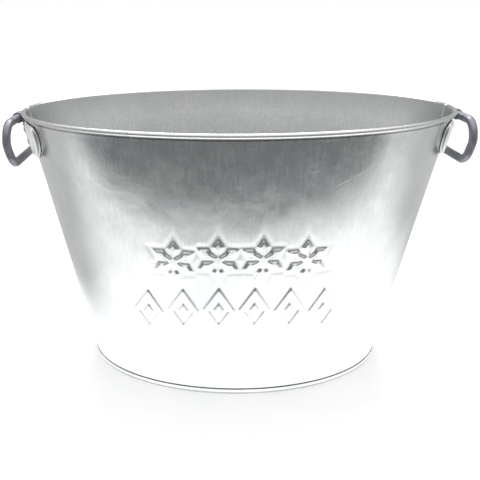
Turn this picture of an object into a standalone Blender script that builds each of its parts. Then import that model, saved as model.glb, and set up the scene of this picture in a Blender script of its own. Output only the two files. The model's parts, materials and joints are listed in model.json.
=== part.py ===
"""Oval galvanised ice bucket with a drop handle hinged on each end.

Frame: the origin is at the centre of the foot, on the surface that the bucket stands on. +X runs along
the long axis, the embossed front faces -Y and +Z is up. Every length is in metres.

Sheet pieces are drawn as the face that shows and given their thickness by a Solidify modifier. The wall
is a tapered oval, and everything fixed to it is placed by an angle round the oval, a height and an offset
from the wall's outer face.
"""

import math

import bmesh
import bpy
from mathutils import Vector

# The whole bucket
HEIGHT = 0.273
RIM_HALF_LENGTH = 0.2185
RIM_HALF_WIDTH = 0.1486
FOOT_HALF_LENGTH = 0.158
FOOT_HALF_WIDTH = 0.1075
OVAL_STEPS = 64
GAP = 0.0003

# Wall and its wired edge
SHEET = 0.0008
WIRE_RADIUS = 0.0012
CURL_INSIDE = WIRE_RADIUS + GAP
CURL_OUTSIDE = CURL_INSIDE + SHEET
CURL_START = math.pi
CURL_END = math.radians(-115)
CURL_STEPS = 8
WIRE_SIDES = 8
WALL_FOOT = 0.0012
WALL_ROWS = (0.09, 0.18)

# Lapped seams at the two ends, where the front and rear sheets meet
LAP_TOP = 0.260
LAP_BOTTOM = 0.0085
JOG_HEIGHT = 0.0016
LAP_STEP = SHEET + GAP
LAP_REACH = 0.003
JOG_OUTER = 0.0049
JOG_INNER = 0.0035
REAR_REACH = 0.0026
BUTT_GAP = 0.00025

# Foot hoop and base pan
HOOP_SHEET = 0.0007
HOOP_OUTER_HEIGHT = 0.0052
HOOP_INNER_HEIGHT = 0.0042
FLOOR_HEIGHT = 0.0062
FLANGE_OFFSET = -(SHEET + GAP)
CORNER = 0.0016
CORNER_STEPS = 3
STEP_INSET = 0.024
STEP_WIDTH = 0.003
STEP_RISE = 0.0018

# Ear plates
PLATE_SHEET = 0.0009
PLATE_HALF_LENGTH = 0.061
PLATE_BOTTOM = 0.2295
PLATE_TOP = 0.2636
PLATE_LOWER_RADIUS = 0.0258
PLATE_UPPER_RADIUS = 0.008
PLATE_PROUD = 0.0045
PLATE_EDGE = 0.0014
PLATE_COLUMNS = 17
PLATE_RINGS = ((0.0, 0.0), (0.0008, 0.06), (0.0032, 0.9), (0.0048, 1.0))

# Hinge lugs, and the axis that each handle swings on
AXIS_X = 0.225
AXIS_Z = 0.2635
BARREL_OUTSIDE = 0.0054
BARREL_INSIDE = 0.0045
BARREL_HALF_WIDTH = 0.005
TONGUE_HALF_WIDTH = 0.011
LUG_SHEET = 0.0016
LUG_OFFSET = PLATE_PROUD + 0.00035
TONGUE_TOP = 0.2605
TONGUE_BOTTOM = 0.2355
BARREL_START = math.radians(170)
BARREL_END = math.radians(-130)
BARREL_STEPS = 24

# Rivets. A corner is a share of the radius and a share of the height
RIVET_PLACES = ((-0.0072, 0.2535), (0.0072, 0.2535), (-0.0072, 0.2415), (0.0072, 0.2415))
SHANK_RADIUS = 0.0015
HOLE_RADIUS = 0.0019
HEAD_RADIUS = 0.0031
HEAD_HEIGHT = 0.0015
HEAD_CORNERS = ((0.94, 0.4), (0.6, 0.86))
TAIL_RADIUS = 0.0026
TAIL_OFFSET = -0.0016
TAIL_HEIGHT = 0.0009
TAIL_CORNER = (0.8, 0.5)
DRILL_REACH = 0.012
RIVET_SIDES = 12

# Handles: a bent round bar that hangs from the lug
BAR_RADIUS = 0.0042
BAR_SIDES_LEVEL = 3
BAR_END = 0.0015
HANDLE_HALF_WIDTH = 0.047
GRIP_DROP = 0.0385
GRIP_SHIFT = -0.0035
ARM_BOW = 0.0015
BOW_DROP = 0.0195
SHOULDER_RADIUS = 0.014
ARM_RADIUS = 0.026
GRIP_CORNER_RADIUS = 0.010
BEND_STEPS = 5

WIRE_HEIGHT = HEIGHT - CURL_OUTSIDE
HOOP_OFFSET = GAP + HOOP_SHEET
FOOT_A = FOOT_HALF_LENGTH - HOOP_OFFSET
FOOT_B = FOOT_HALF_WIDTH - HOOP_OFFSET
TOP_A = RIM_HALF_LENGTH - CURL_INSIDE - CURL_OUTSIDE
TOP_B = RIM_HALF_WIDTH - CURL_INSIDE - CURL_OUTSIDE


def clear_scene():
    for old in list(bpy.data.objects):
        bpy.data.objects.remove(old, do_unlink=True)


def metal(name, colour, roughness):
    """A plain metallic material."""
    material = bpy.data.materials.new(name)
    material.use_nodes = True
    shader = material.node_tree.nodes["Principled BSDF"]
    shader.inputs["Base Color"].default_value = (*colour, 1)
    shader.inputs["Metallic"].default_value = 1
    shader.inputs["Roughness"].default_value = roughness
    return material


def oval_axes(height):
    """Half length and half width of the wall's outer face at a height."""
    share = height / WIRE_HEIGHT
    return FOOT_A + (TOP_A - FOOT_A) * share, FOOT_B + (TOP_B - FOOT_B) * share


def wall_point(angle, height, offset):
    """The point at an angle round the oval and a height, offset outward from the wall's outer face."""
    a, b = oval_axes(height)
    outward = Vector((b * math.cos(angle), a * math.sin(angle), 0)).normalized()
    return Vector((a * math.cos(angle), b * math.sin(angle), height)) + outward * offset


def arc(centre, radius, start, end, steps):
    """Points on an arc, both ends included, for a centre given as two coordinates."""
    angles = [start + (end - start) * i / steps for i in range(steps + 1)]
    return [(centre[0] + radius * math.cos(t), centre[1] + radius * math.sin(t)) for t in angles]


def grid_mesh(name, columns, wrap_columns=False, wrap_rows=False):
    """A mesh of quads between neighbouring columns of points. A point given as None leaves a gap."""
    mesh = bpy.data.meshes.new(name)
    bm = bmesh.new()
    made = [[point and bm.verts.new(point) for point in column] for column in columns]
    column_pairs = list(zip(made, made[1:])) + ([(made[-1], made[0])] if wrap_columns else [])
    for left, right in column_pairs:
        rows = range(len(left) if wrap_rows else len(left) - 1)
        for i in rows:
            corners = (left[i], right[i], right[(i + 1) % len(left)], left[(i + 1) % len(left)])
            if all(corners):
                bm.faces.new(corners)
    bmesh.ops.delete(bm, geom=[v for v in bm.verts if not v.link_faces], context="VERTS")
    bm.to_mesh(mesh)
    bm.free()
    return mesh


def finish_object(name, mesh, material, round_angle=35):
    """Links a mesh as a named object with its material, and smooths its round faces."""
    obj = bpy.data.objects.new(name, mesh)
    bpy.context.scene.collection.objects.link(obj)
    mesh.materials.append(material)
    mesh.shade_smooth()
    mesh.set_sharp_from_angle(angle=math.radians(round_angle))
    return obj


def thicken(obj, thickness):
    """Gives a sheet its thickness on the side away from its faces' normals."""
    solidify = obj.modifiers.new("sheet", "SOLIDIFY")
    solidify.thickness = thickness
    solidify.offset = -1
    solidify.use_even_offset = True
    return obj


def drill(obj, cutter):
    """Cuts a hole with a hidden cutter."""
    cut = obj.modifiers.new("hole", "BOOLEAN")
    cut.operation = "DIFFERENCE"
    cut.solver = "EXACT"
    cut.object = cutter


def lathe(name, profile, sides):
    """A closed solid turned about Z from a profile of (radius, height) that starts and ends on the axis."""
    mesh = bpy.data.meshes.new(name)
    bm = bmesh.new()
    turns = [2 * math.pi * i / sides for i in range(sides)]
    rings = []
    for radius, height in profile[1:-1]:
        rings.append([bm.verts.new((radius * math.cos(t), radius * math.sin(t), height)) for t in turns])
    bottom = bm.verts.new((0, 0, profile[0][1]))
    top = bm.verts.new((0, 0, profile[-1][1]))
    for i in range(sides):
        j = (i + 1) % sides
        bm.faces.new((bottom, rings[0][j], rings[0][i]))
        bm.faces.new((top, rings[-1][i], rings[-1][j]))
        for low, high in zip(rings, rings[1:]):
            bm.faces.new((low[i], low[j], high[j], high[i]))
    bm.to_mesh(mesh)
    bm.free()
    return mesh


def curl_profile():
    """The wall's section round the wire, from where it leaves the plain wall."""
    return arc((CURL_INSIDE, WIRE_HEIGHT), CURL_INSIDE, CURL_START, CURL_END, CURL_STEPS)


def seam_angle(distance):
    """The angle that a distance along Y from an end's middle makes at the rim."""
    return distance / TOP_B


def wall_sheet(name, material, front):
    """One of the two wall sheets. The front sheet's edges step inward and lap behind the rear one's."""
    clear = 0 if front else 2 * GAP
    lap = [LAP_BOTTOM + clear, *WALL_ROWS, LAP_TOP - clear]
    below = [WALL_FOOT, LAP_BOTTOM - JOG_HEIGHT]
    heights = [(0, z) for z in below + lap + [LAP_TOP + JOG_HEIGHT]] + curl_profile()
    near_end = math.pi if front else 0
    steps = OVAL_STEPS // 2
    jog = seam_angle(JOG_OUTER)
    plain = [near_end + math.pi * i / steps for i in range(1, steps)]

    def column(angle, inward=0, lap_only=False):
        points = []
        for i, (offset, z) in enumerate(heights):
            lapped = 0 <= i - len(below) < len(lap)
            place = wall_point(angle, z, offset - (inward if lapped else 0))
            points.append(place if lapped or not lap_only else None)
        return points

    def edge(end, way):
        """Columns from the plain wall to the sheet's edge, at an end of the oval."""
        if not front:
            butt = column(end + way * seam_angle(BUTT_GAP))
            return [butt, column(end - way * seam_angle(REAR_REACH), lap_only=True)]
        return [
            column(end + way * jog),
            column(end + way * seam_angle(JOG_INNER), LAP_STEP),
            column(end + way * seam_angle(BUTT_GAP), LAP_STEP),
            column(end - way * seam_angle(LAP_REACH), LAP_STEP, lap_only=True),
        ]

    columns = edge(near_end, 1)[::-1] + [column(t) for t in plain] + edge(near_end + math.pi, -1)
    sheet = finish_object(name, grid_mesh(name, columns), material)
    return thicken(sheet, SHEET)


def swept_ring(name, section, material):
    """A closed section, given as (offset, height) anticlockwise, carried round the oval."""
    angles = [2 * math.pi * i / OVAL_STEPS for i in range(OVAL_STEPS)]
    columns = [[wall_point(t, z, offset) for offset, z in section] for t in angles]
    return finish_object(name, grid_mesh(name, columns, wrap_columns=True, wrap_rows=True), material)


def rim_wire(material):
    """The steel wire inside the curled edge."""
    turns = [2 * math.pi * (i + 0.5) / WIRE_SIDES for i in range(WIRE_SIDES)]
    offsets = [CURL_INSIDE + WIRE_RADIUS * math.cos(t) for t in turns]
    levels = [WIRE_HEIGHT + WIRE_RADIUS * math.sin(t) for t in turns]
    return swept_ring("rim_wire", list(zip(offsets, levels)), material)


def foot_hoop(material):
    """A folded band that holds the wall's lower edge and the base pan's flange."""
    outer = HOOP_OFFSET
    outer_face = GAP
    inner_face = FLANGE_OFFSET - SHEET - GAP
    inner = inner_face - HOOP_SHEET
    section = [
        (inner, 0), (outer, 0), (outer, HOOP_OUTER_HEIGHT), (outer_face, HOOP_OUTER_HEIGHT),
        (outer_face, HOOP_SHEET), (inner_face, HOOP_SHEET), (inner_face, HOOP_INNER_HEIGHT),
        (inner, HOOP_INNER_HEIGHT),
    ]
    return swept_ring("foot_hoop", section, material)


def base_pan(material):
    """The raised floor: a flange inside the wall, a rounded corner and a stamped oval step."""
    corner_centre = (FLANGE_OFFSET - CORNER, FLOOR_HEIGHT - CORNER)
    corner = arc(corner_centre, CORNER, 0, math.pi / 2, CORNER_STEPS)
    raised = FLOOR_HEIGHT + STEP_RISE
    profile = [(FLANGE_OFFSET, WALL_FOOT)] + corner
    step = FLANGE_OFFSET - STEP_INSET
    profile += [(step, FLOOR_HEIGHT), (step - STEP_WIDTH, raised)]
    angles = [2 * math.pi * i / OVAL_STEPS for i in range(OVAL_STEPS)]
    columns = [[wall_point(t, z, offset) for offset, z in profile] for t in angles]
    mesh = grid_mesh("base_pan", columns, wrap_columns=True)
    bm = bmesh.new()
    bm.from_mesh(mesh)
    inner_edges = [e for e in bm.edges if e.is_boundary and e.verts[0].co.z > FLOOR_HEIGHT + STEP_RISE / 2]
    bmesh.ops.contextual_create(bm, geom=inner_edges)
    bmesh.ops.recalc_face_normals(bm, faces=bm.faces)
    bm.normal_update()
    if max(bm.faces, key=lambda f: f.calc_area()).normal.z < 0:
        bmesh.ops.reverse_faces(bm, faces=bm.faces)
    bm.to_mesh(mesh)
    bm.free()
    return thicken(finish_object("base_pan", mesh, material), SHEET)


def plate_outline(inset, column):
    """Lower and upper height of the ear plate's outline, inset all round, with the distance along Y."""
    reach = PLATE_HALF_LENGTH - inset
    y = -reach * math.cos(math.pi * column / (PLATE_COLUMNS - 1))

    def rounded(radius):
        """How far the outline rises above a corner's centre."""
        inner = radius - inset
        past = min(abs(y) - (PLATE_HALF_LENGTH - radius), inner)
        return inner if past < 0 else math.sqrt(inner**2 - past**2)

    low = PLATE_BOTTOM + PLATE_LOWER_RADIUS - rounded(PLATE_LOWER_RADIUS)
    high = PLATE_TOP - PLATE_UPPER_RADIUS + rounded(PLATE_UPPER_RADIUS)
    return y, low, high


def end_point(side, y, height, offset):
    """A point offset from the wall at one end of the oval, for a distance along Y."""
    angle = math.asin(y / oval_axes(height)[1])
    point = wall_point(angle, height, offset)
    return Vector((side * point.x, point.y, point.z))


def ear_plate(side, name, material, cutters):
    """A dished plate, open at the back, that follows the end of the wall."""
    bm = bmesh.new()
    loops = []
    for inset, share in PLATE_RINGS:
        offset = PLATE_EDGE + (PLATE_PROUD - PLATE_EDGE) * share
        outline = [plate_outline(inset, i) for i in range(PLATE_COLUMNS)]
        lower = [bm.verts.new(end_point(side, y, low, offset)) for y, low, high in outline]
        upper = [bm.verts.new(end_point(side, y, high, offset)) for y, low, high in outline]
        loops.append(lower + upper[::-1])
    for outer, inner in zip(loops, loops[1:]):
        for i in range(len(outer)):
            j = (i + 1) % len(outer)
            bm.faces.new((outer[i], outer[j], inner[j], inner[i]))
    last = loops[-1]
    for i in range(PLATE_COLUMNS - 1):
        bm.faces.new((last[i], last[i + 1], last[-2 - i], last[-1 - i]))
    if side < 0:
        bmesh.ops.reverse_faces(bm, faces=bm.faces)
    mesh = bpy.data.meshes.new(name)
    bm.to_mesh(mesh)
    bm.free()
    plate = thicken(finish_object(name, mesh, material, 50), PLATE_SHEET)
    for cutter in cutters:
        drill(plate, cutter)
    return plate


def end_axes(side, y, height):
    """Origin on the wall's outer face at an end, and the direction straight out of the sloping wall."""
    a_foot, a_top = oval_axes(0)[0], oval_axes(WIRE_HEIGHT)[0]
    outward = Vector((WIRE_HEIGHT, 0, a_foot - a_top)).normalized()
    origin = Vector((side * oval_axes(height)[0], y, height))
    return origin, Vector((side * outward.x, 0, outward.z))


def place_along(obj, origin, direction):
    """Stands an object made along Z on an origin, pointing in a direction."""
    obj.location = origin
    obj.rotation_euler = direction.to_track_quat("Z", "Y").to_euler()
    return obj


def hidden_drill(name, radius, reach, sides, origin, direction):
    """A drill bit that only cuts: it is neither rendered nor drawn solid."""
    mesh = lathe(name, [(0, -reach), (radius, -reach), (radius, reach), (0, reach)], sides)
    cutter = bpy.data.objects.new(name, mesh)
    bpy.context.scene.collection.objects.link(cutter)
    cutter.hide_render = True
    cutter.display_type = "WIRE"
    return place_along(cutter, origin, direction)


def rivet_drill(side, y, height, name):
    """A drill through lug, plate and wall."""
    return hidden_drill(name, HOLE_RADIUS, DRILL_REACH, RIVET_SIDES, *end_axes(side, y, height))


def rivet(side, y, height, name, material):
    """A domed head on the lug, a shank through the sheets and a flattened tail inside the bucket."""
    seat = LUG_OFFSET + LUG_SHEET + GAP
    tail = TAIL_OFFSET - TAIL_HEIGHT
    profile = [
        (0, tail), (TAIL_RADIUS * TAIL_CORNER[0], tail),
        (TAIL_RADIUS, TAIL_OFFSET - TAIL_HEIGHT * TAIL_CORNER[1]), (TAIL_RADIUS, TAIL_OFFSET),
        (SHANK_RADIUS, TAIL_OFFSET), (SHANK_RADIUS, seat), (HEAD_RADIUS, seat),
    ]
    profile += [(HEAD_RADIUS * out, seat + HEAD_HEIGHT * up) for out, up in HEAD_CORNERS]
    profile.append((0, seat + HEAD_HEIGHT))
    obj = finish_object(name, lathe(name, profile, RIVET_SIDES), material)
    return place_along(obj, *end_axes(side, y, height))


def lug_mesh(name, outline, side):
    """A narrow barrel on a wide tongue, from an outline whose first and last two points are the tongue."""
    tongue = (0, 1, -2, -1)
    bm = bmesh.new()
    strips = []
    for way in (-1, 1):
        whole = [bm.verts.new((side * x, way * BARREL_HALF_WIDTH, z)) for x, z in outline]
        bm.faces.new(whole[1:-1])
        wing = [bm.verts.new((side * outline[i][0], way * TONGUE_HALF_WIDTH, outline[i][1])) for i in tongue]
        bm.faces.new(wing)
        strips.append((whole, wing))
    joined = [([whole[i] for i in tongue], wing) for whole, wing in strips] + [(strips[0][0], strips[1][0])]
    for first, second in joined:
        for i in range(len(first)):
            j = (i + 1) % len(first)
            bm.faces.new((first[i], first[j], second[j], second[i]))
    bmesh.ops.recalc_face_normals(bm, faces=bm.faces)
    mesh = bpy.data.meshes.new(name)
    bm.to_mesh(mesh)
    bm.free()
    return mesh


def hinge_lug(side, name, material, cutters):
    """A barrel for the handle's bar, on a flat tongue that is riveted over the ear plate."""
    def tongue(height, offset):
        return oval_axes(height)[0] + offset, height

    back, front = LUG_OFFSET, LUG_OFFSET + LUG_SHEET
    outline = [tongue(TONGUE_BOTTOM, back), tongue(TONGUE_TOP, back)]
    outline += arc((AXIS_X, AXIS_Z), BARREL_OUTSIDE, BARREL_START, BARREL_END, BARREL_STEPS)
    outline += [tongue(TONGUE_TOP - LUG_SHEET, front), tongue(TONGUE_BOTTOM, front)]
    lug = finish_object(name, lug_mesh(name, outline, side), material)
    axis_point = Vector((side * AXIS_X, 0, AXIS_Z))
    along_y = Vector((0, 1, 0))
    reach = BARREL_HALF_WIDTH * 2
    bore = hidden_drill(f"{name}_bore", BARREL_INSIDE, reach, BARREL_STEPS, axis_point, along_y)
    for cutter in [bore] + cutters:
        drill(lug, cutter)
    return lug


def fillet(corners, radii, steps):
    """A path through corner points, with an arc of the given radius at each inner corner."""
    path = [corners[0]]
    for before, corner, after, radius in zip(corners, corners[1:], corners[2:], radii):
        back, ahead = (before - corner).normalized(), (after - corner).normalized()
        half = back.angle(ahead) / 2
        centre = corner + (back + ahead).normalized() * radius / math.sin(half)
        start = (corner + back * radius / math.tan(half) - centre).normalized()
        end = (corner + ahead * radius / math.tan(half) - centre).normalized()
        path += [centre + start.slerp(end, i / steps) * radius for i in range(steps + 1)]
    return path + [corners[-1]]


def handle(side, name, material):
    """A bent round bar whose two ends turn in the barrel. The object's origin is on the hinge axis."""
    half = [
        Vector((0, BAR_END, 0)),
        Vector((0, HANDLE_HALF_WIDTH, 0)),
        Vector((side * ARM_BOW, HANDLE_HALF_WIDTH, -BOW_DROP)),
        Vector((side * GRIP_SHIFT, HANDLE_HALF_WIDTH, -GRIP_DROP)),
        Vector((side * GRIP_SHIFT, 0, -GRIP_DROP)),
    ]
    path = fillet(half, (SHOULDER_RADIUS, ARM_RADIUS, GRIP_CORNER_RADIUS), BEND_STEPS)
    path = path[:-1] + [Vector((p.x, -p.y, p.z)) for p in path[-2::-1]]
    curve = bpy.data.curves.new(name, "CURVE")
    curve.dimensions = "3D"
    curve.bevel_depth = BAR_RADIUS
    curve.bevel_resolution = BAR_SIDES_LEVEL
    curve.use_fill_caps = True
    spline = curve.splines.new("POLY")
    spline.points.add(len(path) - 1)
    for point, place in zip(spline.points, path):
        point.co = (*place, 1)
    obj = bpy.data.objects.new(name, curve)
    bpy.context.scene.collection.objects.link(obj)
    curve.materials.append(material)
    obj.location = (side * AXIS_X, 0, AXIS_Z)
    return obj


def build():
    clear_scene()
    galvanised = metal("galvanised_sheet", (0.56, 0.58, 0.57), 0.38)
    plated = metal("ear_plate_zinc", (0.60, 0.61, 0.60), 0.35)
    iron = metal("dark_iron", (0.12, 0.12, 0.14), 0.5)
    wire = metal("wire_steel", (0.45, 0.45, 0.46), 0.4)
    rivet_steel = metal("rivet_steel", (0.5, 0.51, 0.51), 0.35)

    front = wall_sheet("wall_front", galvanised, True)
    rear = wall_sheet("wall_rear", galvanised, False)
    rim_wire(wire)
    base_pan(galvanised)
    foot_hoop(galvanised)
    for side, word in ((-1, "left"), (1, "right")):
        places = [(y, z, f"{word}_{i}") for i, (y, z) in enumerate(RIVET_PLACES, 1)]
        drills = [rivet_drill(side, y, z, f"rivet_drill_{place}") for y, z, place in places]
        ear_plate(side, f"ear_plate_{word}", plated, drills)
        hinge_lug(side, f"hinge_lug_{word}", iron, drills)
        handle(side, f"handle_{word}", iron)
        for (y, z, place), cutter in zip(places, drills):
            rivet(side, y, z, f"rivet_{place}", rivet_steel)
            drill(front if y < 0 else rear, cutter)


build()
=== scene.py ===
"""Visual model of an oval galvanised ice bucket with a drop handle hinged on each end.

Everything is in metres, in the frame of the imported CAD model: +X runs along the long axis, the embossed
front faces -Y and +Z is up. The fine pieces follow the same tapered oval as the CAD pieces that they stand
for: a place on the wall is an angle round the oval, a height and an offset from the wall's outer face.
"""

import json
import math

import bmesh
import bpy
from mathutils import Matrix, Vector, noise


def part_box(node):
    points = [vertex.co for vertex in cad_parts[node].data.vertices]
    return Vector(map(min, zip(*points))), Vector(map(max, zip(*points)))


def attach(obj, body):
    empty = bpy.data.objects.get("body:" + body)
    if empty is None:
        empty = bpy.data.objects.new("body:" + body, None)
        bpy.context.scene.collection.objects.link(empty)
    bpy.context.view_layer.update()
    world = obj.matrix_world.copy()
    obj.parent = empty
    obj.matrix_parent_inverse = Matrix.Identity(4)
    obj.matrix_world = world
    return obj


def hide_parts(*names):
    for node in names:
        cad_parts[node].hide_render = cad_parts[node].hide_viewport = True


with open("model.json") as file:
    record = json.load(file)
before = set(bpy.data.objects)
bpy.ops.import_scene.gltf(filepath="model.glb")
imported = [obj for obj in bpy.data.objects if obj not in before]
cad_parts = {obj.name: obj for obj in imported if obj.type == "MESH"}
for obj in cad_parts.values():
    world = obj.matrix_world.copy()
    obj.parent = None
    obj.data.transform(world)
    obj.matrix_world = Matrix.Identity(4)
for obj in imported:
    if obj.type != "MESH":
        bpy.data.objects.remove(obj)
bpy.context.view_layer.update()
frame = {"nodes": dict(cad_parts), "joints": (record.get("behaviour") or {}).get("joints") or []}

# The whole bucket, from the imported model
WALL_LOW, WALL_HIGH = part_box("wall_front")
HOOP_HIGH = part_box("foot_hoop")[1]
HEIGHT = WALL_HIGH.z
RIM_HALF_LENGTH = WALL_HIGH.x
RIM_HALF_WIDTH = -WALL_LOW.y
FOOT_HALF_LENGTH = HOOP_HIGH.x
FOOT_HALF_WIDTH = HOOP_HIGH.y
HINGES = {j["child"]: Vector(j["pos_m"]) for j in frame["joints"]}

# Wall and its wired edge
SHEET = 0.0008
GAP = 0.0003
WIRE_RADIUS = 0.0012
CURL_INSIDE = WIRE_RADIUS + GAP
CURL_OUTSIDE = CURL_INSIDE + SHEET
CURL_END = math.radians(-115)
CURL_STEPS = 20
WALL_FOOT = 0.0012
COARSE_ROW = 0.006
FINE_ROW = 0.00105
COARSE_TURN = 0.035
FINE_TURN = 0.0055
REAR_ROW_SKIP = 4
REAR_FOOT_ROWS = 0.02
FRONT_ANGLE = 1.5 * math.pi

# Lapped seams at the two ends
LAP_TOP = 0.260
LAP_BOTTOM = 0.0085
LAP_STEP = SHEET + GAP
LAP_REACH = 0.003
JOG_OUTER = 0.0052
JOG_INNER = 0.0033
JOG_STEPS = 6
JOG_HEIGHT = 0.0016
REAR_REACH = 0.0026
BUTT_GAP = 0.00025

# Foot hoop and base pan
HOOP_SHEET = 0.0007
HOOP_OUTER_HEIGHT = 0.0052
HOOP_INNER_HEIGHT = 0.0042
HOOP_ROUND = 0.0003
ROUND_BULGE = 0.42
FLOOR_HEIGHT = 0.0062
FLANGE_OFFSET = -(SHEET + GAP)
PAN_CORNER = 0.0016
PAN_STEPS = 6
PAN_RINGS = (0.8, 0.55, 0.3, 0.12)
STEP_INSET = 0.024
STEP_WIDTH = 0.003
STEP_RISE = 0.0018
RING_STEPS = 256

# Embossed motifs on the front: a row of snow crystals over a row of lozenges
CRYSTAL_RELIEF = 0.0014
LOZENGE_RELIEF = 0.0010
RELIEF_SLOPE = 0.0019
RELIEF_LOW = 0.066
RELIEF_HIGH = 0.182
RELIEF_TURN = 0.62
RELIEF_FADE = 0.01
CRYSTALS = 4
CRYSTAL_PITCH = 0.0405
CRYSTAL_MIDDLE = (-0.0035, 0.1555)
CRYSTAL_RADIUS = 0.0180
CRYSTAL_STROKE = 0.0008
CRYSTAL_CORE = 0.0040
CRYSTAL_TIP = (0.0050, 0.0032)
LOZENGES = 6
LOZENGE_PITCH = 0.0335
LOZENGE_MIDDLE = (-0.006, 0.1010)
LOZENGE_HALF_WIDTH = 0.0125
LOZENGE_HALF_HEIGHT = 0.0200
LOZENGE_STROKE = 0.0013
LOZENGE_CORE = 0.30
ROW_CURVE = 1.05
PUCKER = 0.00025
PUCKER_REACH = 0.0045
PUCKER_FALLOFF = 4

# Unevenness of the sheet. A fractal is its dimension, lacunarity and octaves
WAVE = 0.00035
WAVE_LENGTH = 0.055
WAVE_FRACTAL = (0.6, 2.0, 2)
WAVE_FADE = 0.03
WAVE_END = 0.19
WAVE_END_FADE = 0.04

# Ear plates
PLATE_SHEET = 0.0009
PLATE_HALF_LENGTH = 0.061
PLATE_BOTTOM = 0.2295
PLATE_TOP = 0.2636
PLATE_LOWER_RADIUS = 0.0258
PLATE_UPPER_RADIUS = 0.008
PLATE_PROUD = 0.0045
PLATE_EDGE = 0.0014
PLATE_COLUMNS = 65
# Painted shade on the plate's steep edges: the span of the normal's X part over which it fades out, and its
# strength
PLATE_EDGE_FACING = (0.25, 0.45)
PLATE_EDGE_SHADE_DEPTH = 0.85
PLATE_RINGS = (
    (0.0, 0.0), (0.0004, 0.06), (0.0008, 0.20), (0.0012, 0.38), (0.0017, 0.58), (0.0023, 0.77),
    (0.0031, 0.92), (0.0044, 1.0),
)

# Hinge lugs
AXIS_X = HINGES["right_handle"].x
AXIS_Z = HINGES["right_handle"].z
BARREL_OUTSIDE = 0.0054
BARREL_INSIDE = 0.0045
BARREL_HALF_WIDTH = 0.005
TONGUE_HALF_WIDTH = 0.011
LUG_SHEET = 0.0016
LUG_OFFSET = PLATE_PROUD + 0.00035
TONGUE_TOP = 0.2605
TONGUE_BOTTOM = 0.2355
BARREL_START = math.radians(170)
BARREL_END = math.radians(-130)
BARREL_STEPS = 40
SLIT = math.radians(4)
LUG_EDGE = 0.0003
LUG_EDGE_SEGMENTS = 2
LUG_EDGE_ANGLE = math.radians(50)

# Rivets
RIVET_PLACES = ((-0.0072, 0.2535), (0.0072, 0.2535), (-0.0072, 0.2415), (0.0072, 0.2415))
SHANK_RADIUS = 0.0015
HEAD_RADIUS = 0.0031
HEAD_HEIGHT = 0.0015
TAIL_RADIUS = 0.0026
TAIL_OFFSET = -0.0016
TAIL_HEIGHT = 0.0009
TAIL_FACE = 0.8
TAIL_CHAMFER = 0.35
DOME_STEPS = 8
RIVET_SIDES = 28

# Handles
BAR_RADIUS = 0.0042
BAR_END = 0.0015
BAR_SIDES = 28
BAR_ROUGHNESS = 0.00016
BAR_BUMP_SCALE = 210
BAR_FRACTAL = (0.8, 2.0, 3)
BAR_BUMP_MEAN = 0.8
BARREL_BLEND = 0.003
HANDLE_HALF_WIDTH = 0.047
GRIP_DROP = 0.0385
GRIP_SHIFT = -0.0035
ARM_BOW = 0.0015
BOW_DROP = 0.0195
SHOULDER_RADIUS = 0.014
ARM_RADIUS = 0.026
GRIP_CORNER_RADIUS = 0.010
BEND_STEPS = 14
STRAIGHT_STEP = 0.002

# Inner faces: painted light makes them paler than outside, and painted shade darkens a span of heights up
# to the bead
INNER_SHADE_SPAN = (0.2450, 0.2700)
INNER_SHADE = 0.36
INNER_PAINTED_LIFT = 0.3

# Painted shade in the outer creases: under the bead and over the foot seam, as heights
CREASE_SHADE_BANDS = ((0.2659, 0.2675), (0.0050, 0.0066))
CREASE_SHADE_DEPTH = 0.70

# Colours of the materials
ZINC_SHADES = ((0.60, 0.625, 0.615), (0.70, 0.705, 0.70))
ZINC_BLOTCH = (0.56, 0.575, 0.60)
ZINC_SPANGLE = (0.78, 0.78, 0.76)
ZINC_WARM = (0.67, 0.65, 0.625)
ZINC_STREAK = (0.50, 0.51, 0.52)
ZINC_SCRATCH = (0.36, 0.36, 0.37)
# Painted light and painted shade for the inner faces, not colours of the zinc itself
ZINC_PAINTED_INNER_LIGHT = (0.90, 0.92, 0.915)
ZINC_PAINTED_SHADE_INSIDE = (0.20, 0.20, 0.215)
# Painted shade for the outer creases
ZINC_CREASE_SHADE = (0.10, 0.10, 0.105)
PLATE_SHADES = ((0.92, 0.925, 0.92), (0.985, 0.985, 0.98))
# Painted shade for the plate's steep edges
PLATE_EDGE_SHADE_COLOUR = (0.16, 0.16, 0.175)
IRON_SHADES = ((0.17, 0.175, 0.205), (0.245, 0.248, 0.29))
IRON_SPECKLE = (0.30, 0.30, 0.335)
IRON_RUBBED = (0.42, 0.42, 0.45)
RIVET_SHADES = ((0.50, 0.51, 0.51), (0.66, 0.66, 0.65))
WIRE_SHADES = ((0.36, 0.36, 0.37), (0.48, 0.48, 0.49))
FLOOR_SHADES = ((0.93, 0.93, 0.93), (0.95, 0.95, 0.95))

# Camera
CAMERA_PLACE = Vector((-0.04164, -0.6513, 0.3716))
CAMERA_YAW = math.radians(0.193)
CAMERA_PITCH = math.radians(20.61)
CAMERA_ROLL = math.radians(-0.441)
CAMERA_LENS = 47.15
CAMERA_SHIFT = 0.0833
SENSOR_WIDTH = 36

# Floor and world
FLOOR_REACH = 40
WORLD_SPAN = (0.0, 0.6)
WORLD_LEVELS = (0.68, 0.52)
WORLD_COLOUR = (0.99, 1.0, 0.995, 1)

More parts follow.
